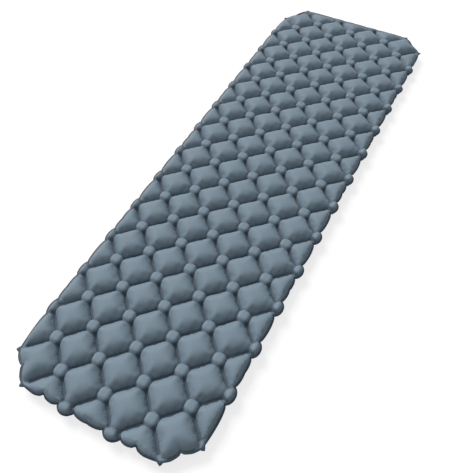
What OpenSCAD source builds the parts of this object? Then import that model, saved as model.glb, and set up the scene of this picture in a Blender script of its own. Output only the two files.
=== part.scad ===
// Inflatable sleeping pad: two quilted sheets welded together, with a two-lid air valve
// let into the underside at the head end. Millimetres, +Z up, +Y towards the head.
// The origin is on the ground under the middle of the pad.

/* [Pad] */
// Length of the inflated pad over its edge lobes
pad_len = 1900; // [1500:10:2100]
// Width of the inflated pad over its edge lobes, halfway along
pad_w = 580; // [480:10:700]
// Share by which the head end is wider, and the foot end narrower, than the middle
taper = 0.057; // [0:0.001:0.1]
// Thickness of the inflated pad at its cell crowns
pad_t = 55; // [48:1:75]

/* [Quilting] */
// Number of diamond cells across the width
cells_across = 4; // [4:2:6]
// Number of diamond cells along the length
cells_along = 14; // [8:2:18]
// Height of the small crossings between four cells above the weld plane
crossing_rise = 13; // [8:0.5:18]
// Distance from the middle of a crossing to the start of each weld
weld_start = 19; // [12:0.5:26]
// Height of a sheet above the weld plane along a weld
weld_rise = 0.8; // [0.4:0.1:2]
// Reach of the flat crown of a cell towards its corners
crown_reach = 15; // [8:0.5:22]
// Height of the half cells along the edge above the weld plane
half_cell_rise = 19; // [12:0.5:23]
// Distance of a half cell's crown from the lattice edge
half_cell_in = 24; // [16:1:32]

/* [Welded edge] */
// How far the edge lobes stand out from the lattice edge
lobe_out = 13; // [10:0.5:20]
// Half width of an edge lobe at its tip
lobe_half = 14; // [8:0.5:20]
// Height of an edge crossing above the weld plane
lobe_rise = 9; // [5:0.5:13]
// How far the edge stands out from the lattice between two lobes
edge_out = 4; // [0:0.5:8]
// How far the cut corners stand out from the lattice
corner_out = 10; // [4:0.5:14]
// Width of the flat weld along the edge
flange_w = 6; // [4:0.5:9]
// Thickness of one sheet at the root of the flat weld
flange_t = 0.8; // [0.5:0.1:1.5]

/* [Valve base] */
// Rows of half cells between the valve and the head edge
valve_row = 2; // [2:2:6]
// Clear height between the closed valve and the ground
ground_gap = 1.5; // [0.5:0.5:4]
// Reach of the flat valve seat towards the corners of its cell
seat_reach = 46; // [44:0.5:50]
// Radius of the welded patch
patch_r = 29; // [26:0.5:30]
// Thickness of the welded patch
patch_t = 1; // [0.6:0.1:1.6]
// Radius of the deflation port at its inner end
port_r = 14; // [13:0.25:14.5]
// Wall of the base round the port
base_wall = 3.9; // [3:0.1:4.5]
// Length of the base inside the pad
spigot_len = 3; // [2:0.5:5]
// Radius of the base's shoulder on the patch
shoulder_r = 22; // [20.5:0.25:24]
// Thickness of the base's shoulder
shoulder_t = 1.4; // [1:0.1:2]
// Wall of the base's collar at its rim
collar_wall = 3.8; // [3:0.1:4.5]
// Height of the base's collar above the pad
collar_h = 7; // [6.5:0.25:8]
// Depth of the conical seat in the collar
cone_h = 4.4; // [3.5:0.1:5]
// Draft of the conical seat, in degrees
cone_draft = 15; // [13:0.5:18]
// Depth of the air space kept clear behind the valve
air_depth = 8; // [6:0.5:10]

/* [Deflation lid] */
// Radius of the lid's plate
lid_r = 20.5; // [19.5:0.25:22]
// Thickness of the lid's plate
lid_t = 1.6; // [1.2:0.1:2]
// Wall of the lid's plug
plug_wall = 1.9; // [1.4:0.1:2.2]
// Length of the plug below the collar's rim
plug_len = 4; // [3.5:0.1:4.3]
// Thickness of both sealing washers
seal_t = 0.5; // [0.3:0.1:0.8]
// Width of the lid's sealing washer
seal_w = 3; // [2:0.1:3.4]
// Length of the lid's pull tab past the plate
tab_len = 6; // [4:0.5:9]
// Width of the lid's pull tab
tab_w = 13; // [9:0.5:16]
// Number of grip ribs on the lid's pull tab
tab_ribs = 3; // [2:1:4]

/* [Inflation spout and cap] */
// Radius of the spout's bore at its mouth
mouth_r = 8.6; // [8.2:0.1:8.8]
// Draft of the spout's bore, in degrees
mouth_draft = 18; // [17:0.5:20]
// Wall of the spout
spout_wall = 1.6; // [1.2:0.1:2]
// Height of the spout above the lid's plate
spout_h = 1.8; // [1.4:0.1:2.5]
// Length of the cap's plug in the spout
cap_plug_len = 5.4; // [5:0.1:5.6]
// Radius of the cap's plate
cap_r = 10.8; // [10.4:0.1:11.4]
// Thickness of the cap's plate
cap_t = 1.2; // [1:0.1:1.6]
// Length of the cap's pull tab past the plate
cap_tab_len = 4.5; // [3:0.5:6]
// Width of the cap's pull tab
cap_tab_w = 8; // [6:0.5:10]

/* [Check flap] */
// How far the flap's edge overlaps the spout's inner end
flap_lap = 1.5; // [1:0.1:1.8]
// Thickness of the flap
flap_t = 1.1; // [0.8:0.1:1.3]
// How far the flap lifts into the pad
flap_lift = 1.5; // [1:0.1:1.5]
// Radius of the flap's stem
stem_r = 1.25; // [1:0.05:1.4]
// How far the stem's knob stands out from the stem
knob_lip = 0.65; // [0.4:0.05:0.8]
// Height of the stem's knob
knob_h = 1.3; // [1:0.1:1.5]
// Radius of the hub that guides the stem
hub_r = 2.6; // [2.3:0.1:3]
// Height of the hub and its spokes
hub_h = 1.4; // [1:0.1:1.6]
// Number of spokes that carry the hub
spokes = 3; // [3:1:5]
// Width of a spoke
spoke_w = 1.6; // [1.2:0.1:2]

/* [Hinges] */
// Distance of the lid's hinge from the valve's axis
lid_hinge_y = 24.5; // [24:0.25:26]
// Height of the lid's hinge below the collar's rim
lid_hinge_drop = 1; // [0.5:0.1:1.4]
// Radius of the lid's hinge pin
lid_pin_r = 1; // [0.8:0.05:1.2]
// Radius of the lid's knuckle
lid_knuckle_r = 2.4; // [2:0.1:2.6]
// Width of the lid's knuckle
lid_knuckle_w = 8; // [6:0.5:10]
// Distance of the cap's hinge from the valve's axis
cap_hinge_y = 14.5; // [14:0.25:15]
// Radius of the cap's hinge pin
cap_pin_r = 0.8; // [0.6:0.05:0.9]
// Radius of the cap's knuckle
cap_knuckle_r = 1.7; // [1.5:0.05:1.9]
// Width of the cap's knuckle
cap_knuckle_w = 5; // [4:0.5:6]
// Thickness of the lid's hinge lugs, twice that of the cap's
lug_w = 3; // [2:0.25:3.5]
// How far each lug stands past its knuckle
lug_margin = 0.2; // [0:0.05:0.3]

/* [Bevels] */
// Bevel at the ends of the hinge pins
pin_chamfer = 0.25; // [0.1:0.05:0.4]
// Bevel round the collar and both lids
edge_chamfer = 0.4; // [0.2:0.05:0.6]

/* [Clearances] */
// Radial clearance of a knuckle on its pin and of the stem in its hub
run_clear = 0.05; // [0.02:0.01:0.1]
// Radial clearance of a fixed pin in its lugs and of the base in its hole
fit_clear = 0.02; // [0.01:0.01:0.05]
// Gap between each plug and its seat
plug_gap = 0.25; // [0.2:0.05:0.35]
// Gap under each seal and flap
seal_gap = 0.1; // [0.05:0.05:0.2]
// Gap beside each knuckle
side_gap = 0.3; // [0.2:0.05:0.5]

/* [Hidden] */
$fn = 64;

slate = "#5c6d82";
deep_slate = "#4d5c70";
graphite = "#2b2f34";
charcoal = "#3a3f45";
seal_grey = "#9aa0a6";
steel = "#b9bdc2";

// The quilting lattice: half steps across and along, counted from the middle of the pad
step_x = (pad_w/2 - lobe_out)/cells_across;
step_y = (pad_len/2 - lobe_out)/cells_along;
mid_z = pad_t/2;
compass = [[1, 0], [0, 1], [-1, 0], [0, -1], [1, 0]];
valve_cell = [0, cells_along - valve_row];

// Heights in the valve, from the pad's surface outwards
rim_z = collar_h;
cone_z = collar_h - cone_h;
plate_z = rim_z + seal_gap + seal_t;
plate_top = plate_z + lid_t;
spout_top = plate_top + spout_h;
cap_z = spout_top + seal_gap + seal_t;
cap_top = cap_z + cap_t;
plug_z = rim_z - plug_len;
cap_plug_z = spout_top - cap_plug_len;
lid_hinge_z = rim_z - lid_hinge_drop;
cap_hinge_z = cap_z;
lug_r = lid_knuckle_r + lug_margin;
cap_lug_r = cap_knuckle_r + lug_margin;
valve_top = max(cap_top, cap_hinge_z + cap_lug_r);
seat_z = ground_gap + valve_top;

// Radii in the valve
spigot_r = port_r + base_wall;
rim_bore_r = port_r + cone_h*tan(cone_draft);
collar_r = rim_bore_r + collar_wall;
throat_r = mouth_bore(cap_plug_z - plug_gap);
tube_r = throat_r + plug_wall;
plug_core_r = seat_bore(plug_z) - plug_gap - plug_wall;
spout_r = mouth_r + spout_wall;
lid_seal_r = seat_bore(plate_z) - plug_gap;
lid_seal_out = lid_seal_r + seal_w;
flap_r = throat_r + flap_lap;
knob_r = stem_r + knob_lip;
knob_z = plug_z + hub_h + flap_lift;
through = 1;

function seat_bore(z) = port_r + max(0, z - cone_z)*tan(cone_draft);
function mouth_bore(z) = mouth_r - (spout_top - z)*tan(mouth_draft);

// Lattice points, where a is [steps across, steps along]
function at(a, z) = [a[0]*step_x, a[1]*step_y, z];
function on_edge(a) = abs(a[0]) == cells_across || abs(a[1]) == cells_along;
function crossing(a) = at(a, on_edge(a) ? lobe_rise : crossing_rise);
function weld(a, b) =
    let (p = at(a, weld_rise), q = at(b, weld_rise))
    p + (q - p)*weld_start/norm(q - p);

// The edge: lobes at the edge crossings, and a drawn-in span between each pair
function outward(a) = abs(a[0]) == cells_across ? [sign(a[0]), 0, 0] : [0, sign(a[1]), 0];
function quarter_turn(v) = [-v[1], v[0], 0];
function lobe_tip(a, s) = at(a, 0) + outward(a)*lobe_out + quarter_turn(outward(a))*s*lobe_half;
function lobe_root(a) = at(a, flange_t) + outward(a)*(lobe_out - flange_w);
function is_corner(a, b) = outward(a) != outward(b);
function span(a, b, inset, z) =
    let (p = at(a, z), q = at(b, z), along = (q - p)/norm(q - p))
    (p + q)/2 - quarter_turn(along)*((is_corner(a, b) ? corner_out : edge_out) - inset);
function span_edge(a, b) = span(a, b, 0, 0);
function span_root(a, b) = span(a, b, flange_w, flange_t);

side_rows = [for (j = [1 - cells_along:2:cells_along - 1]) j];
end_rows = [for (i = [1 - cells_across:2:cells_across - 1]) i];
right_lobes = [for (j = side_rows) [cells_across, j]];
head_lobes = [for (i = end_rows) [-i, cells_along]];
lobes = concat(right_lobes, head_lobes, -right_lobes, -head_lobes, [right_lobes[0]]);
spans = [for (k = [0:len(lobes) - 2]) [lobes[k], lobes[k + 1]]];

// Triangles, counter-clockwise from outside
function fan(middle, ring) = [for (k = [0:len(ring) - 2]) [middle, ring[k], ring[k + 1]]];

function edge_chain(a, b) = [crossing(a), lobe_root(a), span_root(a, b), lobe_root(b), crossing(b)];
function weld_chain(a, b) = [crossing(a), weld(a, b), weld(b, a), crossing(b)];

function facet(p, q, chain) = concat(
    fan(p, [chain[0], chain[1], chain[2]]),
    [[p, chain[2], q]],
    fan(q, [for (k = [2:len(chain) - 1]) chain[k]]));

function cell(c, reach, rise) =
    let (crown = [for (d = compass) at(c, rise) + [d[0], d[1], 0]*reach])
    concat(
        fan(crown[0], [crown[1], crown[2], crown[3]]),
        [for (k = [0:3])
            let (a = c + compass[k], b = c + compass[k + 1], open = on_edge(a) && on_edge(b))
            each facet(crown[k], crown[k + 1], open ? edge_chain(a, b) : weld_chain(a, b))]);

function half_cell(a, b) =
    let (
        inward = -outward(a),
        c = (a + b)/2 + [inward[0], inward[1]],
        crown = at((a + b)/2, half_cell_rise) + inward*half_cell_in)
    fan(crown, concat(edge_chain(a, b), [weld(b, c), weld(c, b)], weld_chain(c, a)));

function edge_weld(a, b) = concat(
    fan(span_root(a, b),
        [lobe_root(a), lobe_tip(a, 1), span_edge(a, b), lobe_tip(b, -1), lobe_root(b)]),
    [[lobe_root(b), lobe_tip(b, -1), lobe_tip(b, 1)]]);

// The face on the weld plane: a ladder between the long edges and a fan at each end
function rim(row) = [for (k = [0:len(row) - 2])
    each [lobe_tip(row[k], 1), span_edge(row[k], row[k + 1]), lobe_tip(row[k + 1], -1)]];
function mirrored(ring) = [for (p = ring) [-p[0], p[1], p[2]]];
function turned(ring) = [for (p = ring) [-p[0], -p[1], p[2]]];

function weld_plane() =
    let (
        last_row = right_lobes[len(right_lobes) - 1],
        right = concat([lobe_tip(right_lobes[0], -1)], rim_with_tips(right_lobes)),
        left = mirrored(right),
        n = len(right) - 1,
        head = rim(concat([last_row], head_lobes, [[-last_row[0], last_row[1]]])),
        head_fan = fan([0, right[n][1], 0], concat(head, [left[n - 1], right[n - 1], right[n]])),
        ladder = [for (k = [1:n - 2])
            each [[left[k], right[k], right[k + 1]], [left[k], right[k + 1], left[k + 1]]]])
    concat(head_fan, [for (t = head_fan) turned(t)], ladder);
function rim_with_tips(row) = concat(rim(row), [lobe_tip(row[len(row) - 1], 1)]);

function is_cell(i, j) = abs(i + j) % 2 == 0;

// The whole lattice narrows evenly from the head end to the foot end
function tapered(p) = [p[0]*(1 + taper*p[1]/(pad_len/2)), p[1], p[2]];

// One sheet with the air that it holds, from the weld plane outwards; the lower one has the valve's seat
module quilted_half(lower) {
    seat_rise = mid_z - seat_z;
    shell = concat(
        [for (j = [1 - cells_along:cells_along - 1], i = [1 - cells_across:cells_across - 1])
            if (is_cell(i, j))
                each (lower && [i, j] == valve_cell
                    ? cell([i, j], seat_reach, seat_rise)
                    : cell([i, j], crown_reach, mid_z))],
        [for (s = spans) if (!is_corner(s[0], s[1])) each half_cell(s[0], s[1])],
        [for (s = spans) each edge_weld(s[0], s[1])],
        [for (t = weld_plane()) [t[0], t[2], t[1]]]);
    polyhedron(
        points = [for (t = shell, p = t) tapered(p)],
        faces = [for (k = [0:len(shell) - 1]) [3*k, 3*k + 2, 3*k + 1]]);
}

// Puts a piece on the valve's seat, with its own +Z pointing out of the underside
module on_seat() {
    translate([0, valve_cell[1]*step_y, seat_z])
        rotate([180, 0, 0])
            children();
}

// A ring or disc turned from its section, given as [radius, height] points
module turned_piece(section) {
    rotate_extrude() polygon(section);
}

// A plate cut to a side profile of [y, z] points, w wide and centred on x
module side_plate(profile, x, w) {
    translate([x - w/2, 0, 0])
        rotate([90, 0, 90])
            linear_extrude(w) polygon(profile);
}

// A round bar along x, centred on x
module cross_bar(x, y, z, r, w) {
    translate([x - w/2, y, z])
        rotate([0, 90, 0])
            cylinder(r = r, h = w);
}

// A hinge pin along x with bevelled ends
module hinge_pin(y, z, r, w) {
    translate([-w/2, y, z])
        rotate([0, 90, 0])
            turned_piece([[0, 0], [r - pin_chamfer, 0], [r, pin_chamfer], [r, w - pin_chamfer],
                [r - pin_chamfer, w], [0, w]]);
}

// A flat tab with a round end, from the axis out to y on the side s
module tab(y, w, z, t, s) {
    translate([0, 0, z]) {
        translate([-w/2, s > 0 ? 0 : w/2 - y, 0]) cube([w, y - w/2, t]);
        translate([0, s*(y - w/2), 0]) cylinder(d = w, h = t);
    }
}

module top_sheet() {
    color(slate)
        translate([0, 0, mid_z])
            quilted_half(false);
}

module bottom_sheet() {
    color(deep_slate)
        difference() {
            translate([0, 0, mid_z])
                mirror([0, 0, 1])
                    quilted_half(true);
            on_seat()
                translate([0, 0, -air_depth])
                    cylinder(r = spigot_r + fit_clear, h = air_depth + through);
        }
}

module valve_patch() {
    color(charcoal)
        on_seat()
            turned_piece([[spigot_r + fit_clear, 0], [patch_r, 0], [patch_r, patch_t/3],
                [patch_r - 2*patch_t, patch_t], [spigot_r + fit_clear, patch_t]]);
}

lid_lug_x = lid_knuckle_w/2 + side_gap + lug_w/2;

module lid_lug(x) {
    root_y = collar_r - collar_wall/2;
    side_plate([[root_y, patch_t + shoulder_t/2], [lid_hinge_y, lid_hinge_z - lug_r],
        [lid_hinge_y, lid_hinge_z + lug_r], [root_y, rim_z - 2*lid_hinge_drop]], x, lug_w);
    cross_bar(x, lid_hinge_y, lid_hinge_z, lug_r, lug_w);
}

module valve_base() {
    color(graphite)
        on_seat()
            difference() {
                union() {
                    turned_piece([[port_r, -spigot_len], [spigot_r, -spigot_len], [spigot_r, patch_t],
                        [shoulder_r, patch_t], [shoulder_r, patch_t + shoulder_t],
                        [collar_r, patch_t + shoulder_t], [collar_r, rim_z - edge_chamfer],
                        [collar_r - edge_chamfer, rim_z], [rim_bore_r, rim_z], [port_r, cone_z]]);
                    for (s = [-1, 1]) lid_lug(s*lid_lug_x);
                }
                cross_bar(0, lid_hinge_y, lid_hinge_z, lid_pin_r + fit_clear, 2*lid_lug_x + 2*lug_w);
            }
}

module lid_pin() {
    color(steel)
        on_seat()
            hinge_pin(lid_hinge_y, lid_hinge_z, lid_pin_r, 2*lid_lug_x + lug_w);
}

cap_lug_x = cap_knuckle_w/2 + side_gap + lug_w/4;

module cap_lug(x) {
    near_y = cap_lug_r - cap_hinge_y;
    far_y = -cap_lug_r - cap_hinge_y;
    root_z = plate_top - lid_t/2;
    side_plate([[far_y, root_z], [near_y, root_z], [near_y, cap_hinge_z], [far_y, cap_hinge_z]],
        x, lug_w/2);
    cross_bar(x, -cap_hinge_y, cap_hinge_z, cap_lug_r, lug_w/2);
}

// The bored lid: a plate with a drafted plug below it and the spout through its middle
module lid_turning() {
    turned_piece([[throat_r, plug_z], [tube_r, plug_z], [tube_r, plate_z], [plug_core_r, plate_z],
        [plug_core_r, plug_z], [seat_bore(plug_z) - plug_gap, plug_z],
        [lid_seal_r, plate_z], [lid_r, plate_z], [lid_r, plate_top - edge_chamfer],
        [lid_r - edge_chamfer, plate_top], [spout_r, plate_top], [spout_r, spout_top],
        [mouth_r, spout_top], [throat_r, cap_plug_z - plug_gap]]);
}

module spider() {
    translate([0, 0, plug_z]) {
        cylinder(r = hub_r, h = hub_h);
        for (k = [0:spokes - 1])
            rotate(k*360/spokes)
                translate([0, -spoke_w/2, 0])
                    cube([(throat_r + tube_r)/2, spoke_w, hub_h]);
    }
}

module lid_tab() {
    tab(lid_r + tab_len, tab_w, plate_z, lid_t, -1);
    for (k = [1:tab_ribs])
        translate([0, -lid_r - tab_len + k*tab_len/(tab_ribs + 1), plate_top])
            rotate([0, 90, 0])
                cylinder(r = lid_t/4, h = tab_w/2, center = true);
}

module lid_knuckle() {
    root_y = lid_seal_out + seal_gap;
    side_plate([[root_y, plate_z], [lid_hinge_y - lid_knuckle_r, lid_hinge_z],
        [lid_hinge_y, lid_hinge_z + lid_knuckle_r], [lid_r, plate_top], [root_y, plate_top]],
        0, lid_knuckle_w);
    cross_bar(0, lid_hinge_y, lid_hinge_z, lid_knuckle_r, lid_knuckle_w);
}

module deflate_lid() {
    color(graphite)
        on_seat()
            difference() {
                union() {
                    lid_turning();
                    spider();
                    difference() {
                        lid_tab();
                        cylinder(r = lid_r - lid_t, h = spout_top);
                    }
                    lid_knuckle();
                    for (s = [-1, 1]) cap_lug(s*cap_lug_x);
                }
                cross_bar(0, lid_hinge_y, lid_hinge_z, lid_pin_r + run_clear, lid_knuckle_w + through);
                cross_bar(0, -cap_hinge_y, cap_hinge_z, cap_pin_r + fit_clear, 2*cap_lug_x + lug_w);
                translate([0, 0, plug_z - through])
                    cylinder(r = stem_r + run_clear, h = hub_h + 2*through);
            }
}

module lid_seal() {
    color(seal_grey)
        on_seat()
            turned_piece([[lid_seal_r, plate_z - seal_t], [lid_seal_out, plate_z - seal_t],
                [lid_seal_out, plate_z], [lid_seal_r, plate_z]]);
}

module cap_pin() {
    color(steel)
        on_seat()
            hinge_pin(-cap_hinge_y, cap_hinge_z, cap_pin_r, 2*cap_lug_x + lug_w/2);
}

module check_flap() {
    flap_z = plug_z - seal_gap;
    color(seal_grey)
        on_seat()
            turned_piece([[0, flap_z - flap_t], [flap_r - flap_t/2, flap_z - flap_t],
                [flap_r, flap_z - flap_t/2], [flap_r, flap_z], [stem_r, flap_z], [stem_r, knob_z],
                [knob_r, knob_z], [stem_r, knob_z + knob_h], [0, knob_z + knob_h]]);
}

module inflate_cap() {
    recess_z = knob_z + knob_h + 2*seal_t;
    recess_r = knob_r + 2*plug_gap;
    recess_mouth_r = recess_r + (recess_z - cap_plug_z)*2/3;
    color(graphite)
        on_seat()
            difference() {
                union() {
                    turned_piece([[0, recess_z], [recess_r, recess_z], [recess_mouth_r, cap_plug_z],
                        [mouth_bore(cap_plug_z) - plug_gap, cap_plug_z],
                        [mouth_bore(spout_top) - plug_gap, spout_top],
                        [mouth_bore(spout_top) - plug_gap, cap_z], [cap_r, cap_z],
                        [cap_r, cap_top - edge_chamfer], [cap_r - edge_chamfer, cap_top], [0, cap_top]]);
                    tab(cap_r + cap_tab_len, cap_tab_w, cap_z, cap_t, 1);
                    side_plate([[-cap_r + cap_t, cap_z], [-cap_r + cap_t, cap_top], [-cap_hinge_y, cap_top],
                        [-cap_hinge_y, cap_z]], 0, cap_knuckle_w);
                    cross_bar(0, -cap_hinge_y, cap_hinge_z, cap_knuckle_r, cap_knuckle_w);
                }
                cross_bar(0, -cap_hinge_y, cap_hinge_z, cap_pin_r + run_clear, cap_knuckle_w + through);
            }
}

module cap_seal() {
    inner_r = mouth_bore(spout_top) - plug_gap;
    color(seal_grey)
        on_seat()
            turned_piece([[inner_r, cap_z - seal_t], [spout_r, cap_z - seal_t], [spout_r, cap_z],
                [inner_r, cap_z]]);
}

top_sheet();
bottom_sheet();
valve_patch();
valve_base();
lid_pin();
deflate_lid();
lid_seal();
cap_pin();
check_flap();
inflate_cap();
cap_seal();
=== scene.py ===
# %% [markdown]
# # An inflatable sleeping pad
# Two sheets of coated fabric are welded together along short straight lines. Air lifts the fabric between
# the welds into puffy cells, and a two-lid valve in the underside lets the air in and out.
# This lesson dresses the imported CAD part. It lays out a grid of fabric along the welds, blows it up with
# a cloth simulation, and gives each piece its finish. All lengths are in metres, in the part's own frame.

import math

import bmesh
import bpy
import numpy as np
from mathutils import Matrix, Vector


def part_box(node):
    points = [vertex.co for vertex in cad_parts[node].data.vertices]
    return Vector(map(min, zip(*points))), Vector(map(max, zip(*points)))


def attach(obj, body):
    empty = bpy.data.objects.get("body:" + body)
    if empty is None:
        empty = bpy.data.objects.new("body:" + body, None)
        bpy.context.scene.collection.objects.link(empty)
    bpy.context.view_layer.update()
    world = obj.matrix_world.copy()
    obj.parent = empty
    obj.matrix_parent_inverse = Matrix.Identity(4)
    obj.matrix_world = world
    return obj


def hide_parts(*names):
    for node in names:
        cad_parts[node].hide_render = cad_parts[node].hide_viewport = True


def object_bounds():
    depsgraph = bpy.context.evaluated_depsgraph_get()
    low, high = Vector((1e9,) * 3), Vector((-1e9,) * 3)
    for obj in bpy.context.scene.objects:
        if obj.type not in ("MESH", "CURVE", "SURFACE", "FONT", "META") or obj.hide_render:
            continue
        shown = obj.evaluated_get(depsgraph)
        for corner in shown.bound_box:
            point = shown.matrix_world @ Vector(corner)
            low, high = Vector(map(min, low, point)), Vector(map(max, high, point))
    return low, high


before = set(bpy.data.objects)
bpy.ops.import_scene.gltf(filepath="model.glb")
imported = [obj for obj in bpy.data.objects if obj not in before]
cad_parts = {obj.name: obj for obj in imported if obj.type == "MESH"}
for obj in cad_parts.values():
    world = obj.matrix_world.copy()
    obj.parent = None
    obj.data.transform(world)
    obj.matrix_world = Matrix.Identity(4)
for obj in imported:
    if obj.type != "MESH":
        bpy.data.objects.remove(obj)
cad_low, cad_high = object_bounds()
print("CAD box", [round(v, 4) for v in (*cad_low, *cad_high)])

# %% [markdown]
# The welds lie on the diagonals of a lattice. Counted in half diagonals across and along, cells sit where
# the sum of the two counts is even, and the small open crossings between four cells where it is odd.
# The pad narrows evenly from the head end to the foot end, which is added once the lattice is laid out.
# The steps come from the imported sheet's own box, so this script follows the CAD part if its size changes.

# %% Measure the lattice
MM = 0.001
CELLS_ACROSS = 4
CELLS_ALONG = 14
LOBE_OUT = 13 * MM
LOBE_TIP = 14 * MM
FLANGE_WIDTH = 3.5 * MM
TAPER = 0.057

sheet_low, sheet_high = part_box("top_sheet")
weld_plane = sheet_low.z
crown_rise = sheet_high.z - sheet_low.z
edge_y = sheet_high.y - LOBE_OUT
step_y = edge_y / CELLS_ALONG
widest_y = edge_y - step_y + LOBE_TIP
edge_x = sheet_high.x / (1 + TAPER * widest_y / sheet_high.y) - LOBE_OUT
step_x = edge_x / CELLS_ACROSS
cell_side = math.hypot(step_x, step_y)
print("steps", round(step_x, 5), round(step_y, 5), "cell side", round(cell_side, 5))

# %% [markdown]
# A sheet of fabric could start as any flat grid, but a weld should follow a row of edges, or it would come
# out ragged. So the grid is made in cell units, one unit to a cell, and a matrix then turns it by 45 degrees
# and scales it onto the lattice. The grid's own border becomes the four cut corners, and four cuts with a
# plane make the long and short edges. Each of those runs through grid points, so it cuts squares in half.
# Two more cuts inside each edge leave the sheet whole and give its rounded wall the points it needs.
# Most of the shape is near the welds, so the rows are first drawn towards them, evenly on both sides.

# %% Lay out the fabric along the welds
DIVISIONS = 20
CROWDING = 0.4
ROWS = CELLS_ACROSS + CELLS_ALONG - 1
TOUCH = 0.01 * MM
EDGE_ROWS = (3.5 * MM, 9 * MM)


def crowded(count):
    return count + CROWDING * math.sin(2 * math.pi * count) / (2 * math.pi)


def lattice_grid():
    bm = bmesh.new()
    squares = ROWS * DIVISIONS
    bmesh.ops.create_grid(bm, x_segments=squares, y_segments=squares, size=ROWS / 2)
    for vert in bm.verts:
        vert.co.x = crowded(vert.co.x)
        vert.co.y = crowded(vert.co.y)
    onto_lattice = Matrix(((step_x, -step_x, 0, 0), (step_y, step_y, 0, 0), (0, 0, 1, 0), (0, 0, 0, 1)))
    bmesh.ops.transform(bm, matrix=onto_lattice, verts=bm.verts)
    borders = (((1, 0, 0), edge_x), ((-1, 0, 0), edge_x), ((0, 1, 0), edge_y), ((0, -1, 0), edge_y))
    for outward, reach in borders:
        for inset in (0, *EDGE_ROWS):
            bmesh.ops.bisect_plane(
                bm,
                geom=bm.verts[:] + bm.edges[:] + bm.faces[:],
                dist=TOUCH,
                plane_co=Vector(outward) * (reach - inset),
                plane_no=outward,
                clear_outer=inset == 0,
            )
    tidy = bm.copy()
    bm.free()
    tidy.verts.index_update()
    return tidy


fabric = lattice_grid()
print("fabric grid:", len(fabric.verts), "points,", len(fabric.faces), "faces")

# %% [markdown]
# The flat weld round the edge doesn't run straight. The edge crossings stand out as round lobes, the half
# cells between them bulge out, and there is a sharp notch where the two meet. An arc for each lobe and each
# bulge tells how far the inner line of the flat weld stands out. Some half cells are pinched in the middle,
# which is a cusp. A cut corner has no lobes, only a low bulge with a pinch.

# %% Draw a lobe, a bulge and a pinch
LOBE_HALF = 23 * MM
PINCH_HALF = 26 * MM
CORNER_BULGE = 4 * MM
CORNER_PINCH = 9 * MM


def smooth_step(x):
    x = np.clip(x, 0, 1)
    return x * x * (3 - 2 * x)


def arc(x):
    return np.sqrt(np.maximum(1 - x * x, 0))


def cusp(offset):
    return np.maximum(1 - np.sqrt(np.abs(offset) / PINCH_HALF), 0)


def span_out(offset, span, pinch, has_lobe, edge):
    lobe, bulge, notch = edge.T
    notch = np.where(has_lobe, notch, 0)
    lobe = np.where(has_lobe, lobe + notch, 0) * arc(offset / LOBE_HALF)
    middle = span / 2 - np.abs(offset)
    swell = middle / (span / 2 - np.where(has_lobe, LOBE_HALF, 0))
    bulge = (bulge + notch) * np.where(has_lobe, arc(swell), 1 - swell**2)
    return np.maximum(lobe, bulge) - notch - pinch * cusp(middle)


def corner_out(offset):
    return CORNER_BULGE * np.maximum(1 - (2 * offset / cell_side) ** 2, 0) - CORNER_PINCH * cusp(offset)


print("a cut corner stands out by", round(1000 * corner_out(np.array(0.0)), 1), "mm at its pinch")

# %% [markdown]
# The four edges differ. The foot end is the most scalloped, and the head end and the left edge are drawn
# nearly straight. Each edge has three lengths: how far its lobes and its half cells stand out, and how deep
# its notches are. The pinches differ from half cell to half cell, so they are listed one by one.

# %% Measure how far each point's edge stands out
FOOT_EDGE = np.array([14.5, 7, 4]) * MM
HEAD_EDGE = np.array([5, 5, 0]) * MM
LEFT_EDGE = np.array([7, 4, 2]) * MM
RIGHT_EDGE = np.array([12, 5, 4]) * MM
FOOT_PINCH = np.array([11, 2, 10]) * MM
HEAD_PINCH = np.array([1, 2, 1]) * MM
SIDE_PINCH = np.array([0, 2, 0, 3, 0, 0, 4, 0, 2, 0, 3, 0, 1]) * MM


def pinch_at(count, depths):
    place = np.round(count / 2).astype(int) + len(depths) // 2
    return depths[np.clip(place, 0, len(depths) - 1)]


def nearest_odd(count):
    return 2 * np.floor(count / 2) + 1


flat = np.array([v.co for v in fabric.verts])
across = flat[:, 0] / step_x
along = flat[:, 1] / step_y
end_pinch = np.where(along < 0, pinch_at(across, FOOT_PINCH), pinch_at(across, HEAD_PINCH))
side_edge = np.where(flat[:, :1] < 0, LEFT_EDGE, RIGHT_EDGE)
end_edge = np.where(flat[:, 1:2] < 0, FOOT_EDGE, HEAD_EDGE)
side_out = span_out(
    (along - nearest_odd(along)) * step_y,
    2 * step_y,
    pinch_at(along, SIDE_PINCH),
    np.abs(nearest_odd(along)) < CELLS_ALONG - 1,
    side_edge,
)
end_out = span_out(
    (across - nearest_odd(across)) * step_x,
    2 * step_x,
    end_pinch,
    np.abs(nearest_odd(across)) < CELLS_ACROSS - 1,
    end_edge,
)
cut_offset = (np.abs(along) - np.abs(across) - (CELLS_ALONG - CELLS_ACROSS)) / 2 * cell_side
cut_out = corner_out(cut_offset)
print("outline stands out by", round(1000 * side_out.min(), 1), "to", round(1000 * side_out.max(), 1), "mm")

# %% [markdown]
# The border's points move out by that much, each square to its own edge. Moving them alone would stretch
# the last row of faces, so the points further in go with them, less and less. How far inside the new
# outline each point then lies is kept for the rounded wall.

# %% Move the points near the edge
DRAWN_IN = 34 * MM

cut_way = np.sign(flat[:, :2]) * np.array([step_y, step_x]) / cell_side
inside_side = edge_x - np.abs(flat[:, 0])
inside_end = edge_y - np.abs(flat[:, 1])
inside_cut = (inside_side * step_y + (inside_end - step_y) * step_x) / cell_side


def near_edge(inside):
    return 1 - smooth_step(inside / DRAWN_IN)


def from_root(inside, out):
    return inside + out * (1 - near_edge(inside))


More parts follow.
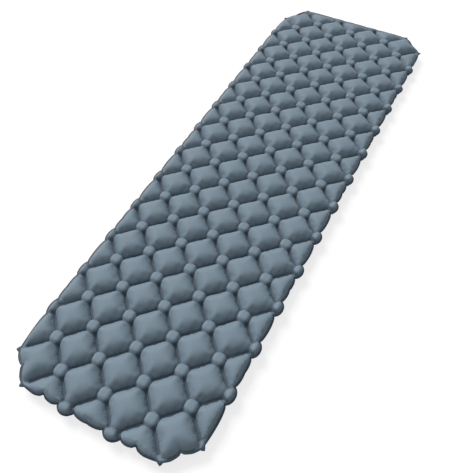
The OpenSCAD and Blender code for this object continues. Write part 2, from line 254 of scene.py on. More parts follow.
moved = np.zeros((len(flat), 2))
moved[:, 0] += np.sign(flat[:, 0]) * side_out * near_edge(inside_side)
moved[:, 1] += np.sign(flat[:, 1]) * end_out * near_edge(inside_end)
moved += cut_way * (cut_out * near_edge(inside_cut))[:, None]
inside = np.minimum(from_root(inside_side, side_out), from_root(inside_end, end_out))
inside = np.minimum(inside, from_root(inside_cut, cut_out))
placed = flat[:, :2] + moved
print("points moved with the edge:", int((np.abs(moved).max(axis=1) > TOUCH).sum()))

# %% [markdown]
# Before air comes in, the fabric gets a rough puffed form, a little smaller than the real one. The cloth
# simulation could start from the flat grid, but it would need far more time to lift the cells that high.
# Each point belongs to one cell and one crossing, so those two are found first. Each cell and each crossing
# differs a little in height, as on a real pad.

# %% Find each point's cell and crossing
CELL_SPREAD = 0.03
CROSSING_SPREAD = 0.1
SEED = 11

shelves = ROWS + 3
rng = np.random.default_rng(SEED)
cell_vary = 1 + CELL_SPREAD * rng.uniform(-1, 1, (shelves, shelves))
crossing_vary = 1 + CROSSING_SPREAD * rng.uniform(-1, 1, (shelves, shelves))

row_p = (across + along) / 2
row_q = (along - across) / 2
cell_p = np.round(row_p)
cell_q = np.round(row_q)
crossing_p = np.floor(row_p) + 0.5
crossing_q = np.floor(row_q) + 0.5
off_p = (row_p - crossing_p) * cell_side
off_q = (row_q - crossing_q) * cell_side
shut = np.abs(crossing_p - crossing_q) + np.abs(crossing_p + crossing_q) > ROWS - 0.5
half_cell = (np.abs(cell_p - cell_q) > CELLS_ACROSS - 0.5) | (np.abs(cell_p + cell_q) > CELLS_ALONG - 0.5)


def shelf(count):
    return count.astype(int) + shelves // 2


print("points in half cells", half_cell.sum(), "and round the ends of cut corners", shut.sum())

# %% [markdown]
# A crossing is a small flat-topped knob with eight sides. How far out a point lies on its knob is a number
# that is 1 on the knob's border: nearly the larger of its distances in a square and in a turned one.
# A knob on the edge is measured in the drawn-out outline, so it is as round as the others.
# The fabric turns sharply at that border, and the rows of the grid cross it at a slant, which would leave
# teeth. More rows would cure that slowly, so the points near the border are drawn towards it instead.

# %% Measure the knobs and draw points to their borders
KNOB_REACH = 22.5 * MM
KNOB_SIDE = 18.5 * MM
KNOB_SHIFT = 0.35
CORNER_SHARP = 10
EDGE_WALL = 17 * MM
RING_DRAW = 0.65
RING_HALF = 0.3
TINY = 0.00001


def norm_of(a, b, power):
    return (np.abs(a) ** power + np.abs(b) ** power) ** (1 / power)


def octagon(a, b):
    turned = norm_of((a + b) / math.sqrt(2), (a - b) / math.sqrt(2), CORNER_SHARP)
    return norm_of(norm_of(a, b, CORNER_SHARP) / KNOB_REACH, turned / KNOB_SIDE, CORNER_SHARP)


at_side = np.trunc((crossing_p - crossing_q) / CELLS_ACROSS)
at_end = np.trunc((crossing_p + crossing_q) / CELLS_ALONG)
placed_x = (placed[:, 0] - KNOB_SHIFT * side_edge[:, 0] * at_side) / step_x
placed_y = (placed[:, 1] - KNOB_SHIFT * end_edge[:, 0] * at_end) / step_y
knob_p = ((placed_x + placed_y) / 2 - crossing_p) * cell_side
knob_q = ((placed_y - placed_x) / 2 - crossing_q) * cell_side
knob_norm = np.where(shut, ROWS, octagon(knob_p, knob_q))

drawn = RING_DRAW * smooth_step(inside / EDGE_WALL) * np.exp(-(((knob_norm - 1) / RING_HALF) ** 2))
drawn *= 1 - 1 / np.maximum(knob_norm, TINY)
shift_p = -drawn * knob_p
shift_q = -drawn * knob_q
placed[:, 0] += step_x * (shift_p - shift_q) / cell_side
placed[:, 1] += step_y * (shift_p + shift_q) / cell_side
knob_norm *= 1 - drawn
off_p += shift_p
off_q += shift_q
print("points drawn to the knobs' borders by up to", round(1000 * np.abs(shift_p).max(), 1), "mm")

# %% [markdown]
# A cell is a dome over the space between its four welds. The fabric is held down beside a weld, and comes
# free past a weld's end. How strongly it is held in the two directions is joined into one number with
# nearly sharp corners, which makes soft ridges that point at the crossings. The dome fades out where a
# knob begins, more slowly at the edge, where the fabric is slacker.

# %% Puff up the cells and the knobs
START_FILL = 0.9
RIDGE = 11
CELL_CURVE = 2.7
CELL_SLOPE = 0.66
HALF_CELL_FILL = 0.8
KNOB_RISE = 18 * MM
KNOB_CURVE = 5
KNOB_SLOPE = 0.4
NECK = 0.3
EDGE_SOFTER = 1.8
WELD_HALF = 3.2 * MM
WELD_START = 21 * MM


def dome(norm, curve, slope):
    return (1 - np.minimum(np.abs(norm), 1) ** curve) ** slope


def held_down(beside, along_weld):
    past_end = np.where(shut, 0, np.maximum(along_weld - cell_side / 2 + WELD_START, 0))
    from_weld = np.hypot(cell_side / 2 - beside, past_end) - WELD_HALF
    return np.clip(1 - from_weld / (cell_side / 2 - WELD_HALF), 0, 1)


in_p = np.abs(row_p + shift_p / cell_side - cell_p) * cell_side
in_q = np.abs(row_q + shift_q / cell_side - cell_q) * cell_side
softer = np.where((at_side != 0) | (at_end != 0), EDGE_SOFTER, 1)
cell_norm = norm_of(held_down(in_p, in_q), held_down(in_q, in_p), RIDGE)
cell_rise = START_FILL * crown_rise * cell_vary[shelf(cell_p), shelf(cell_q)]
cell_rise *= np.where(half_cell, HALF_CELL_FILL, 1) * dome(cell_norm, CELL_CURVE, CELL_SLOPE)
cell_rise *= smooth_step((knob_norm - 1) / (NECK * softer) + 0.5)
knob_rise = KNOB_RISE * crossing_vary[shelf(crossing_p), shelf(crossing_q)]
knob_rise *= dome(knob_norm, KNOB_CURVE, KNOB_SLOPE)
print("cells rise", round(1000 * cell_rise.max(), 1), "mm and knobs", round(1000 * knob_rise.max(), 1), "mm")

# %% [markdown]
# The larger of the two forms wins. A narrow fold is pressed in all round a knob, where the fabric turns
# from one form to the other, and the edge gets a rounded wall that ends on the flat weld. The wall is
# steeper on a knob than on a half cell.

# %% Press the folds and round the edge
FOLD_DEPTH = 1.5 * MM
FOLD_HALF = 0.12
KNOB_WALL = 10 * MM
KNOB_FADE_FROM = 0.75
KNOB_FADE_OVER = 0.5
WALL_CURVE = 2.4
WALL_SLOPE = 0.7
WELD_RISE = 0.8 * MM

near_knob = 1 - smooth_step((knob_norm - KNOB_FADE_FROM) / KNOB_FADE_OVER)
wall = EDGE_WALL + (KNOB_WALL - EDGE_WALL) * near_knob
edge_wall = dome(np.maximum(1 - inside / wall, 0), WALL_CURVE, WALL_SLOPE)
fold = np.exp(-(((knob_norm - 1) / (FOLD_HALF * softer)) ** 2))
rise = np.maximum(np.maximum(cell_rise, knob_rise) - FOLD_DEPTH * fold, 0)
rise = WELD_RISE + rise * edge_wall
print("rough crown", round(1000 * rise.max(), 1), "mm, points", len(rise))

# %% [markdown]
# Every point now has its place and its height, so it can be put there, and the taper with it. One pass of
# smoothing, up and down only, takes what is left of the teeth out of the folds.

# %% Place the points
RING_INNER = 0.85
RING_OUTER = 1.35
SMOOTHING = 0.5

for vert, (x, y), up in zip(fabric.verts, placed, rise):
    vert.co = (x * (1 + TAPER * y / sheet_high.y), y, weld_plane + up)
fabric.verts.ensure_lookup_table()
ring = [fabric.verts[i] for i in np.flatnonzero((knob_norm > RING_INNER) & (knob_norm < RING_OUTER))]
bmesh.ops.smooth_vert(fabric, verts=ring, factor=SMOOTHING, use_axis_z=True)
print("smoothed", len(ring), "points round the knobs")

# %% [markdown]
# The points that hold the fabric down are those on a weld, on a knob and on the flat weld round the edge.
# A weld starts a little way from each crossing. At the two ends of a cut corner it runs to the edge.
# Slack fabric would dimple the small knobs, so they keep their shape and only the cells move.
# The flat weld itself is extruded from the border, square to it, with a small spike at those ends.

# %% Mark the welds and extrude the flat weld
SPIKE = 7 * MM
SPIKE_HALF = 6 * MM
HELD_NORM = 1.08

on_p = np.abs(off_p) < WELD_HALF
on_q = np.abs(off_q) < WELD_HALF
off_crossing = np.maximum(np.abs(off_p), np.abs(off_q))
welded = (on_p | on_q) & ((off_crossing > WELD_START) | shut)
spike = np.where(shut, SPIKE * np.maximum(1 - off_crossing / SPIKE_HALF, 0), 0)

border = [e for e in fabric.edges if e.is_boundary]
outward = {}
for edge in border:
    run = edge.verts[1].co - edge.verts[0].co
    side = Vector((run.y, -run.x, 0)).normalized()
    if side.dot(edge.link_faces[0].calc_center_median() - edge.verts[0].co) > 0:
        side.negate()
    for vert in edge.verts:
        outward[vert] = outward.get(vert, Vector()) + side
root = set(outward)
for vert in root:
    vert.co.z = weld_plane + WELD_RISE

grown = bmesh.ops.extrude_edge_only(fabric, edges=border)["geom"]
tips = [v for v in grown if isinstance(v, bmesh.types.BMVert)]
sources = []
for tip in tips:
    source = next(e.other_vert(tip) for e in tip.link_edges if e.other_vert(tip) in root)
    tip.co = source.co + outward[source].normalized() * (FLANGE_WIDTH + spike[source.index])
    sources.append(source)
fabric.verts.index_update()
tip_at = [v.index for v in tips]
root_at = [v.index for v in sources]
pinned = set(np.flatnonzero(welded | (knob_norm < HELD_NORM))) | set(root_at) | set(tip_at)
flat_weld = np.zeros(len(fabric.verts))
flat_weld[root_at + tip_at] = 1
print(len(pinned), "pinned points,", len(tips), "rim points, last of all:", min(tip_at) == len(flat))

# %% [markdown]
# Now air comes in. Blender's cloth pushes every face outwards with an even pressure, while the fabric
# resists stretching and the pinned points stay put. A little slack lets it bulge and crease. Gravity is
# left out, because air pressure is far stronger than the fabric's weight. The result is read back into
# the mesh, so no simulation stays on it, and no point may move further than a set limit.

# %% Blow the fabric up
FRAMES = 20
PRESSURE = 40
SLACK = 0.03
POINT_MASS = 0.0002
STEPS_PER_FRAME = 6
STRETCH_STIFFNESS = 25
SHEAR_STIFFNESS = 10
BENDING_STIFFNESS = 0.1
MOST_MOVED = 6 * MM


def blow_up(bm, held):
    mesh = bpy.data.meshes.new("blown")
    bm.to_mesh(mesh)
    blown = bpy.data.objects.new("blown", mesh)
    bpy.context.scene.collection.objects.link(blown)
    welds = blown.vertex_groups.new(name="welds")
    welds.add([int(i) for i in held], 1.0, "REPLACE")
    air = blown.modifiers.new("air", "CLOTH")
    air.settings.vertex_group_mass = welds.name
    air.settings.quality = STEPS_PER_FRAME
    air.settings.mass = POINT_MASS
    air.settings.tension_stiffness = STRETCH_STIFFNESS
    air.settings.compression_stiffness = STRETCH_STIFFNESS
    air.settings.shear_stiffness = SHEAR_STIFFNESS
    air.settings.bending_stiffness = BENDING_STIFFNESS
    air.settings.shrink_min = -SLACK
    air.settings.use_pressure = True
    air.settings.uniform_pressure_force = PRESSURE
    air.settings.effector_weights.gravity = 0
    air.collision_settings.use_collision = False
    air.point_cache.frame_start = 1
    air.point_cache.frame_end = FRAMES
    for number in range(1, FRAMES + 1):
        bpy.context.scene.frame_set(number)
    result = blown.evaluated_get(bpy.context.evaluated_depsgraph_get()).to_mesh()
    places = np.empty(len(result.vertices) * 3)
    result.vertices.foreach_get("co", places)
    bpy.context.scene.frame_set(1)
    bpy.data.objects.remove(blown)
    bpy.data.meshes.remove(mesh)
    return places.reshape(-1, 3)


puffed = np.array([v.co for v in fabric.verts])
blown = blow_up(fabric, pinned)
way = blown - puffed
far = np.linalg.norm(way, axis=1, keepdims=True)
blown = puffed + way * np.minimum(1, MOST_MOVED / np.maximum(far, TOUCH))
height = blown[:, 2] - weld_plane
print("air moved the fabric", round(1000 * far.mean(), 2), "mm, at most", round(1000 * far.max(), 2), "mm")
print("crowns rise", round(1000 * height.max(), 2), "mm")

# %% [markdown]
# The blown form is fitted to the CAD part, so that its crowns come to the CAD part's thickness.
# Where the edge is pinched in, the flat weld buckles upwards, and both sheets go with it. Along the head
# end and the left edge it curls up a little, so its dark line, which is partly painted shade, shows beyond
# the half cells.

# %% Fit the form to the part
CROWN_PERCENTILE = 99.9
BUCKLE = 0.6
BUCKLE_REACH = 20 * MM
HEAD_LIFT = 13 * MM
HEAD_TILT = 5 * MM
LEFT_LIFT = 9 * MM
LIFT_REACH = 30 * MM

height = np.minimum(height * crown_rise / np.percentile(height, CROWN_PERCENTILE), crown_rise)
pinch_depth = np.zeros(len(flat))
spans = (
    (inside_side, np.abs(along - 2 * np.round(along / 2)) * step_y, pinch_at(along, SIDE_PINCH)),
    (inside_end, np.abs(across - 2 * np.round(across / 2)) * step_x, end_pinch),
    (inside_cut, np.abs(cut_offset), CORNER_PINCH),
)
for inwards, from_middle, depth in spans:
    here = depth * cusp(from_middle) * (1 - smooth_step(inwards / BUCKLE_REACH))
    pinch_depth = np.maximum(pinch_depth, here)

from_head = np.minimum(inside_end, inside_cut)
at_head = smooth_step(along - CELLS_ALONG + 1) * (1 - smooth_step(from_head / LIFT_REACH))
at_left = smooth_step((CELLS_ALONG - 1 - np.abs(along)) / 2) * (1 - smooth_step(inside_side / LIFT_REACH))
head_lift = at_head * (HEAD_LIFT - HEAD_TILT * across / CELLS_ACROSS)
left_lift = np.where(across < 0, at_left * LEFT_LIFT, 0)


def with_rim(amounts):
    """Give each point on the rim what its source on the inner line of the flat weld has."""
    full = np.zeros(len(blown))
    full[: len(flat)] = amounts
    full[tip_at] = full[root_at]
    return full


buckle = with_rim(BUCKLE * pinch_depth)
lift = with_rim(np.maximum(head_lift, left_lift))
print("flat weld buckles", round(1000 * buckle.max(), 1), "mm and lifts", round(1000 * lift.max(), 1), "mm")

# %% [markdown]
# The same form serves for both sheets. The top sheet takes it as it is. The bottom sheet takes it turned
# over, and is pressed flat where it rests on the ground. The cell that holds the valve is flat on the
# height of the valve's patch, and bends into that seat softly.

# %% Place the two sheets
SEAT_BLEND = 1.5 * MM

patch_low, patch_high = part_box("valve_patch")
valve_x = (patch_low.x + patch_high.x) / 2
valve_y = (patch_low.y + patch_high.y) / 2
seat_z = patch_high.z
from_valve = np.hypot(blown[:, 0] - valve_x, blown[:, 1] - valve_y)

top_places = blown.copy()
top_places[:, 2] = weld_plane + np.maximum(height + buckle, lift + WELD_RISE)
bottom_places = blown.copy()
bottom_places[:, 2] = np.maximum(weld_plane - height + buckle + lift, cad_low.z)
nearest = np.argmin(from_valve[: len(flat)])
same_cell = (cell_p == cell_p[nearest]) & (cell_q == cell_q[nearest]) & (knob_norm > 1)
valve_cell = np.flatnonzero(same_cell)
free_z = bottom_places[valve_cell, 2]
share = np.clip(0.5 + (free_z - seat_z) / (2 * SEAT_BLEND), 0, 1)
bottom_places[valve_cell, 2] = free_z * share + seat_z * (1 - share) + SEAT_BLEND * share * (1 - share)
print("valve's seat at", round(1000 * seat_z, 2), "mm, points in its cell", len(valve_cell))

# %% [markdown]
# Four marks on the fabric's points tell the finish where to change. One shows the pressed welds and the
# folds round the knobs, which get a dark colour: on the welds it is partly their own and partly painted
# shade of the gaps, and in the folds it is painted shade. One tells how much the fabric puckers beside a
# weld, one how far along the weld a point is, and one the flat weld round the edge, whose dark colour is
# partly its own and partly painted shade of its edge. They could be painted on a picture, but attributes
# follow the mesh exactly.

# %% Mark the welds for the finish
WELD_EDGE = 2.5 * MM
WELD_FADE = 3.5 * MM
FOLD_PAINTED_SHADE = 0.85
PUCKER_REACH = 15 * MM

from_p_weld = np.where(np.abs(off_q) > WELD_START - WELD_FADE, np.abs(off_p), cell_side)
from_q_weld = np.where(np.abs(off_p) > WELD_START - WELD_FADE, np.abs(off_q), cell_side)
from_weld = np.minimum(from_p_weld, from_q_weld)
# The weld band is painted dark, partly for the pressed weld and partly as painted shade in the gap between
# cells.
pressed_and_shaded = 1 - smooth_step((from_weld - WELD_EDGE) / WELD_FADE)
marks = {name: np.zeros(len(blown)) for name in ("pressed_weld_and_shade", "pucker", "weld_run")}
# The folds round the knobs join this mark as painted shade in their crease.
marks["pressed_weld_and_shade"][: len(flat)] = np.maximum(pressed_and_shaded, FOLD_PAINTED_SHADE * fold**2)
marks["pucker"][: len(flat)] = (1 - smooth_step(from_weld / PUCKER_REACH)) * (1 - pressed_and_shaded)
marks["weld_run"][: len(flat)] = np.where(from_p_weld < from_q_weld, row_q, row_p) * cell_side
marks["flat_weld"] = flat_weld
print("marked", {name: int((mark > 0).sum()) for name, mark in marks.items()})

# %% [markdown]
# Three helpers finish a sheet. One cuts the round hole for the valve. One gives the fabric its thickness on
# the inner side, which makes the sheet a closed form of its own. In a sharp crease the operator would push
# a point too far, so that way is limited. The last lays out a flat map for baking, with the outer side over
# most of it and the inner side in a strip.

# %% Cut, thicken and map a sheet
FABRIC_THICKNESS = 0.7 * MM
HOLE_RADIUS = 18.4 * MM
HOLE_REACH = 21 * MM
INNER_STRIP = 0.08
OUTER_START = 0.1
MAP_MARGIN = 0.005


def cut_hole(bm):
    cut = [f for f in bm.faces if all(from_valve[v.index] < HOLE_REACH for v in f.verts)]
    bmesh.ops.delete(bm, geom=cut, context="FACES")
    rounded = [v for v in bm.verts if v.is_boundary and from_valve[v.index] < 2 * HOLE_REACH]
    for vert in rounded:
        spoke = Vector((vert.co.x - valve_x, vert.co.y - valve_y, 0)).normalized() * HOLE_RADIUS
        vert.co = (valve_x + spoke.x, valve_y + spoke.y, seat_z)


def thicken(bm):
    bm.normal_update()
    source = bm.verts.layers.float_vector.new("source")
    for vert in bm.verts:
        vert[source] = vert.co
    grown = bmesh.ops.solidify(bm, geom=bm.faces[:], thickness=FABRIC_THICKNESS)["geom"]
    for vert in bm.verts:
        inwards = vert.co - vert[source]
        if inwards.length > FABRIC_THICKNESS:
            vert.co = vert[source] + inwards.normalized() * FABRIC_THICKNESS
    bm.verts.layers.float_vector.remove(source)
    return {f for f in grown if isinstance(f, bmesh.types.BMFace)}


def lay_out(bm, inner):
    layer = bm.loops.layers.uv.new("OFBake")
    size = sheet_high - sheet_low
    for face in bm.faces:
        for loop in face.loops:
            u = (loop.vert.co.x - sheet_low.x) / size.x
            v = (loop.vert.co.y - sheet_low.y) / size.y
            v = INNER_STRIP * v if face in inner else OUTER_START + (1 - OUTER_START) * v
            loop[layer].uv = [MAP_MARGIN + (1 - 2 * MAP_MARGIN) * place for place in (u, v)]


print("fabric", FABRIC_THICKNESS / MM, "mm thick, hole", 2 * HOLE_RADIUS / MM, "mm across")

# %% [markdown]
# Both sheets come from one function, which puts the points in place and writes the marks on them. The
# bottom sheet has its faces turned over, so that they point outwards, and gets the hole. Each piece rides
# on the pad's body and hides the plain CAD sheet it stands for.

# %% Build the two pieces


def sheet_piece(name, places, underside):
    bm = fabric.copy()
    bm.verts.ensure_lookup_table()
    for vert, place in zip(bm.verts, places):
        vert.co = place
    for mark, amounts in marks.items():
        layer = bm.verts.layers.float.new(mark)
        for vert, amount in zip(bm.verts, amounts):
            vert[layer] = amount
    if underside:
        bmesh.ops.reverse_faces(bm, faces=bm.faces)
        cut_hole(bm)
    lay_out(bm, thicken(bm))
    mesh = bpy.data.meshes.new(name)
    bm.to_mesh(mesh)
    bm.free()
    mesh.shade_smooth()
    piece = bpy.data.objects.new(name, mesh)
    bpy.context.scene.collection.objects.link(piece)
    print(name, len(mesh.polygons), "faces")
    return piece


top = sheet_piece("quilted_top", top_places, underside=False)
bottom = sheet_piece("quilted_bottom", bottom_places, underside=True)
for piece, node, slot in ((top, "top_sheet", "sheet_top"), (bottom, "bottom_sheet", "sheet_bottom")):
    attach(piece, "pad")
    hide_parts(node)
fabric.free()

# %% [markdown]
# A finish is a tree of shader nodes. Wiring nodes one by one is tedious, so a small class stands for one
# output of a node. Adding or multiplying such outputs adds Math nodes, and any other node comes from the
# same method, which takes its type, its settings and the values or links of its sockets.

# %% A helper for finishes
MIX_FIRST = 6
MIX_SECOND = 7
MIX_COLOUR = 2


class Wire:
    def __init__(self, tree, socket=None):
        self.tree = tree
        self.socket = socket

    def node(self, kind, settings=None, sockets=None, output=0):
        made = self.tree.nodes.new(kind)
        for name, value in (settings or {}).items():
            setattr(made, name, value)
        for name, value in (sockets or {}).items():
            if isinstance(value, Wire):
                self.tree.links.new(value.socket, made.inputs[name])
            else:
                made.inputs[name].default_value = value
        return Wire(self.tree, made.outputs[output] if made.outputs else None)

    def maths(self, operation, first, second):
        return self.node("ShaderNodeMath", {"operation": operation}, {0: first, 1: second})

    def __add__(self, other):
        return self.maths("ADD", self, other)

    def __sub__(self, other):
        return self.maths("SUBTRACT", self, other)

    def __rsub__(self, other):
        return self.maths("SUBTRACT", other, self)

    def __mul__(self, other):
        return self.maths("MULTIPLY", self, other)

    __radd__ = __add__
    __rmul__ = __mul__


def start_finish(name):
    material = bpy.data.materials.new(name)
    material.use_nodes = True
    material.node_tree.nodes.clear()
    return material, Wire(material.node_tree)


def end_finish(wire, shader):
    wire.node("ShaderNodeOutputMaterial", {}, {"Surface": shader})


def blend(wire, share, first, second):
    sockets = {"Factor": share, MIX_FIRST: first, MIX_SECOND: second}
    return wire.node("ShaderNodeMix", {"data_type": "RGBA"}, sockets, MIX_COLOUR)


def noise(wire, place, scale, detail=2, distortion=0):
    sockets = {"Vector": place, "Scale": scale, "Detail": detail, "Distortion": distortion}
    return wire.node("ShaderNodeTexNoise", {}, sockets)


def bump(wire, height, distance, strength, under=None):
    sockets = {"Height": height, "Distance": distance, "Strength": strength}
    if under:
        sockets["Normal"] = under
    return wire.node("ShaderNodeBump", {}, sockets)


print("finish helpers:", ", ".join(helper.__name__ for helper in (Wire, blend, noise, bump)))

# %% [markdown]
# The fabric is a fine plain weave with a matt coating. Its colour drifts a little from place to place, and
# the pressed welds are darker than the rest, partly for themselves and partly as painted shade of the gaps
# between cells; the folds round the knobs take that dark as painted shade, and the flat weld round the edge
# partly as painted shade of its edge. Three bumps lie over each other: slack crinkles that a coated
# fabric keeps from being rolled up, puckers that run away from each weld, and the threads of the weave.

# %% Finish of the fabric
THREAD = 1.2 * MM
THREAD_DEPTH = 0.06 * MM
WAVE_REPEAT = 0.3142  # A wave texture of scale 1 repeats once in this length
PUCKER_STEP = 8 * MM
PUCKER_DEPTH = 0.5 * MM
PUCKER_WANDER = 14
CRINKLE_SCALE = 70
CRINKLE_DEPTH = 1.2 * MM
CLOUD_SCALE = 11
SPECKLE_SCALE = 900
FABRIC_ROUGHNESS = 0.55


def fabric_finish(name, colour, drift, weld_and_shade_colour):
    material, wire = start_finish(name)
    place = wire.node("ShaderNodeTexCoord", output="Object")
    weld_and_fold_shade, rim, pucker, run = (
        wire.node("ShaderNodeAttribute", {"attribute_name": mark}, output="Fac")
        for mark in ("pressed_weld_and_shade", "flat_weld", "pucker", "weld_run")
    )
    # Welds are dark partly for themselves and partly as painted shade of the gaps; folds round the knobs are
    # dark as painted shade; the flat weld round the edge partly as painted shade of its edge.
    pressed_and_shaded = wire.maths("MAXIMUM", weld_and_fold_shade * 0.9, rim)
    cloud = noise(wire, place, CLOUD_SCALE, 4)
    speckle = noise(wire, place, SPECKLE_SCALE)
    base = blend(wire, cloud * 0.7 + speckle * 0.3, (*colour, 1), (*drift, 1))
    tint = blend(wire, pressed_and_shaded, base, (*weld_and_shade_colour, 1))
    warp, weft = (
        wire.node(
            "ShaderNodeTexWave", {"bands_direction": way}, {"Vector": place, "Scale": WAVE_REPEAT / THREAD}
        )
        for way in "XY"
    )
    crinkle = noise(wire, place, CRINKLE_SCALE, 4, 0.6)
    wander = noise(wire, place, 30) * PUCKER_WANDER
    gathers = wire.maths("SINE", run * (2 * math.pi / PUCKER_STEP) + wander, 0)
    soft = bump(wire, crinkle, CRINKLE_DEPTH, 0.35)
    soft = bump(wire, gathers * pucker, PUCKER_DEPTH, 0.6, soft)
    threads = bump(wire, warp * weft, THREAD_DEPTH, 0.5, soft)
    shader = wire.node(
        "ShaderNodeBsdfPrincipled",
        {},
        {
            "Base Color": tint,
            "Roughness": FABRIC_ROUGHNESS + cloud * 0.12 - pressed_and_shaded * 0.05,
            "Specular IOR Level": 0.2,
            "Normal": threads,
        },
    )
    end_finish(wire, shader)
    return material


# The last colour of each sheet is the dark of its welds: partly the welds' own colour, partly painted shade
# of the gaps, the folds and the edge.
FABRIC_COLOURS = (
    (top, "slate_fabric", (0.150, 0.205, 0.251), (0.172, 0.230, 0.277), (0.045, 0.066, 0.090)),
    (bottom, "deep_slate_fabric", (0.100, 0.138, 0.180), (0.120, 0.162, 0.205), (0.035, 0.048, 0.068)),
)
for piece, name, *colours in FABRIC_COLOURS:
    piece.data.materials.append(fabric_finish(name, *colours))
    print(piece.name, "has the finish", name)

# %% [markdown]
# The valve's base, lid and cap are moulded from graphite plastic. A mould leaves a fine even grain, and
# fingers rub it paler and smoother in places, so one slow noise drives both the colour and the roughness.
# The patch that is welded to the fabric is a softer film, with rings pressed into it by the welding tool.

# %% Finish of the valve's plastic
RUBBED_SCALE = 160
GRAIN_SCALE = 2600
RING_STEP = 1.4 * MM
RING_DEPTH = 0.15 * MM


def plastic_finish(name, colour, rubbed_colour, roughness, grain_depth, ringed):
    material, wire = start_finish(name)
    place = wire.node("ShaderNodeTexCoord", output="Object")
    rubbed = noise(wire, place, RUBBED_SCALE, 3, 0.4)
    skin = bump(wire, noise(wire, place, GRAIN_SCALE), grain_depth, 0.5)
    if ringed:
        middle = wire.node("ShaderNodeMapping", {}, {"Vector": place, "Location": (-valve_x, -valve_y, 0)})
        rings = wire.node(
            "ShaderNodeTexWave",
            {"wave_type": "RINGS", "rings_direction": "Z"},
            {"Vector": middle, "Scale": WAVE_REPEAT / RING_STEP},
        )
        skin = bump(wire, rings, RING_DEPTH, 0.7, skin)
    shader = wire.node(
        "ShaderNodeBsdfPrincipled",
        {},
        {
            "Base Color": blend(wire, rubbed, (*colour, 1), (*rubbed_colour, 1)),
            "Roughness": roughness - rubbed * 0.15,
            "Specular IOR Level": 0.4,
            "Normal": skin,
        },
    )
    end_finish(wire, shader)
    return material


moulded = plastic_finish(
    "graphite_plastic", (0.030, 0.033, 0.038), (0.050, 0.054, 0.060), 0.55, 0.05 * MM, ringed=False
)
film = plastic_finish(
    "charcoal_film", (0.042, 0.048, 0.056), (0.060, 0.067, 0.076), 0.45, 0.02 * MM, ringed=True
)
print("plastics:", moulded.name, film.name)

# %% [markdown]
# The washers and the one-way flap are grey silicone, which is a little cloudy and picks up dust, and the
# hinge pins are drawn steel wire. Drawing leaves fine scratches along the wire, so the noise on the pins is
# stretched along the hinge.

# %% Finish of the seals and pins
CLOUDY_SCALE = 240
DUST_SCALE = 1800
SCRATCH_SCALE = 6000
SCRATCH_STRETCH = 0.04


def silicone_finish(name):
    material, wire = start_finish(name)
    place = wire.node("ShaderNodeTexCoord", output="Object")
    cloudy = noise(wire, place, CLOUDY_SCALE, 3)
    shader = wire.node(
        "ShaderNodeBsdfPrincipled",
        {},
        {
            "Base Color": blend(wire, cloudy, (0.29, 0.31, 0.33, 1), (0.38, 0.40, 0.42, 1)),
            "Roughness": 0.3 + cloudy * 0.25,
            "Subsurface Weight": 0.2,
            "Subsurface Scale": 0.8 * MM,
            "Normal": bump(wire, noise(wire, place, DUST_SCALE), 0.02 * MM, 0.4),
        },
    )
    end_finish(wire, shader)
    return material


def wire_finish(name):
    material, wire = start_finish(name)
    place = wire.node("ShaderNodeTexCoord", output="Object")
    along_pin = wire.node("ShaderNodeMapping", {}, {"Vector": place, "Scale": (SCRATCH_STRETCH, 1, 1)})
    scratch = noise(wire, along_pin, SCRATCH_SCALE, 3)
    shader = wire.node(
        "ShaderNodeBsdfPrincipled",
        {},
        {
            "Base Color": blend(wire, scratch, (0.46, 0.46, 0.46, 1), (0.60, 0.60, 0.59, 1)),
            "Metallic": 1.0,
            "Roughness": 0.22 + scratch * 0.2,
            "Normal": bump(wire, scratch, 0.02 * MM, 0.4),
        },
    )
    end_finish(wire, shader)
    return material


silicone = silicone_finish("grey_silicone")
steel = wire_finish("drawn_steel")
print("finishes of the small pieces:", silicone.name, steel.name)

# %% [markdown]
# Each valve piece keeps its CAD form, which is right as it is, and takes one of these finishes. A material
# in an object's slot changes its look alone, so the piece stays where the joints expect it.

# %% Dress the valve
FINISH_OF = {
    "valve_patch": film,
    "valve_base": moulded,
    "deflate_lid": moulded,
    "inflate_cap": moulded,
    "lid_seal": silicone,
    "cap_seal": silicone,
    "check_flap": silicone,
    "lid_pin": steel,
    "cap_pin": steel,
}
for node, finish in FINISH_OF.items():
    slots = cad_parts[node].material_slots
    for place in slots:
        place.material = finish
    print(node, "has", len(slots), "slot with", finish.name)

# %% [markdown]
# The stage is a pale floor in a white room. Only the camera, and mirror-like surfaces, see the white of
# the room: what lights the pad is an even glow from all round and one broad light from the far left.
# Seen from below, the floor is clear, so that the valve in the underside can be looked at too.

# %% Lay the floor
FLOOR_HALF = 9
FLOOR_GAP = 0.5 * MM
FLOOR_GREY = 0.3
FLOOR_GLOW = 0.74

floor_mesh = bmesh.new()
lowered = Matrix.Translation((0, 0, cad_low.z - FLOOR_GAP))
bmesh.ops.create_grid(floor_mesh, x_segments=1, y_segments=1, size=FLOOR_HALF, matrix=lowered)
floor_data = bpy.data.meshes.new("floor")
floor_mesh.to_mesh(floor_data)
floor_mesh.free()
floor = bpy.data.objects.new("floor", floor_data)
bpy.context.scene.collection.objects.link(floor)


def seen_directly(wire):
    path = wire.node("ShaderNodeLightPath").socket.node.outputs
    rays = ("Is Camera Ray", "Is Glossy Ray", "Is Transmission Ray")
    camera, glossy, through = (Wire(wire.tree, path[ray]) for ray in rays)
    return wire.maths("MINIMUM", camera + glossy + through, 1)


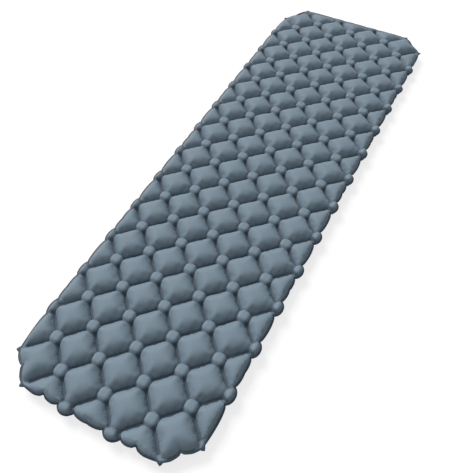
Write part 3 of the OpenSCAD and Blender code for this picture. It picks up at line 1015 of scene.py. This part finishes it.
material, wire = start_finish("pale_floor")
glow_strength = seen_directly(wire) * FLOOR_GLOW
matt = wire.node("ShaderNodeBsdfDiffuse", {}, {"Color": (FLOOR_GREY, FLOOR_GREY, FLOOR_GREY, 1)})
glow = wire.node("ShaderNodeEmission", {}, {"Color": (1, 1, 1, 1), "Strength": glow_strength})
lit = wire.node("ShaderNodeAddShader", {}, {0: matt, 1: glow})
clear = wire.node("ShaderNodeBsdfTransparent")
from_below = wire.node("ShaderNodeNewGeometry", output="Backfacing")
end_finish(wire, wire.node("ShaderNodeMixShader", {}, {0: from_below, 1: lit, 2: clear}))
floor_data.materials.append(material)
print("floor", round(1000 * FLOOR_GAP, 1), "mm under the pad")

# %% [markdown]
# The glow comes from the world, which is all one white. The broad light is a sun with a wide angle: its
# shadows are soft, and it lights the whole pad evenly, which a lamp close by would not.

# %% Light the room
ROOM_LIGHT = 0.4
KEY_FROM = Vector((-1.0, 0.5, 1.05))
KEY_STRENGTH = 3.1
KEY_SPREAD = 35

room = bpy.data.worlds.new("room")
room.use_nodes = True
room.node_tree.nodes.clear()
wire = Wire(room.node_tree)
room_strength = ROOM_LIGHT + seen_directly(wire) * (1 - ROOM_LIGHT)
air = wire.node("ShaderNodeBackground", {}, {"Color": (1, 1, 1, 1), "Strength": room_strength})
wire.node("ShaderNodeOutputWorld", {}, {"Surface": air})
bpy.context.scene.world = room

key_data = bpy.data.lights.new("key", "SUN")
key_data.energy = KEY_STRENGTH
key_data.angle = math.radians(KEY_SPREAD)
key = bpy.data.objects.new("key", key_data)
key.rotation_euler = KEY_FROM.to_track_quat("Z", "Y").to_euler()
bpy.context.scene.collection.objects.link(key)
print("room light", ROOM_LIGHT, "and key light", KEY_STRENGTH)

# %% [markdown]
# The camera stands where the photograph was taken: beyond the foot end, to the right, and well above.

# %% Place the camera
SENSOR_WIDTH = 36
LENS = 39.45
EYE_PLACE = Vector((0.4849, -1.1350, 1.2378))
EYE_AIM = Vector((0.0578, -0.2958, 0.0200))

eye_data = bpy.data.cameras.new("eye")
eye_data.sensor_width = SENSOR_WIDTH
eye_data.lens = LENS
eye = bpy.data.objects.new("eye", eye_data)
eye.location = EYE_PLACE
eye.rotation_euler = (EYE_AIM - EYE_PLACE).to_track_quat("-Z", "Y").to_euler()
bpy.context.scene.collection.objects.link(eye)
bpy.context.scene.camera = eye
bpy.context.scene.view_settings.view_transform = "Standard"
print("camera", LENS, "mm at", [round(v, 3) for v in eye.location])
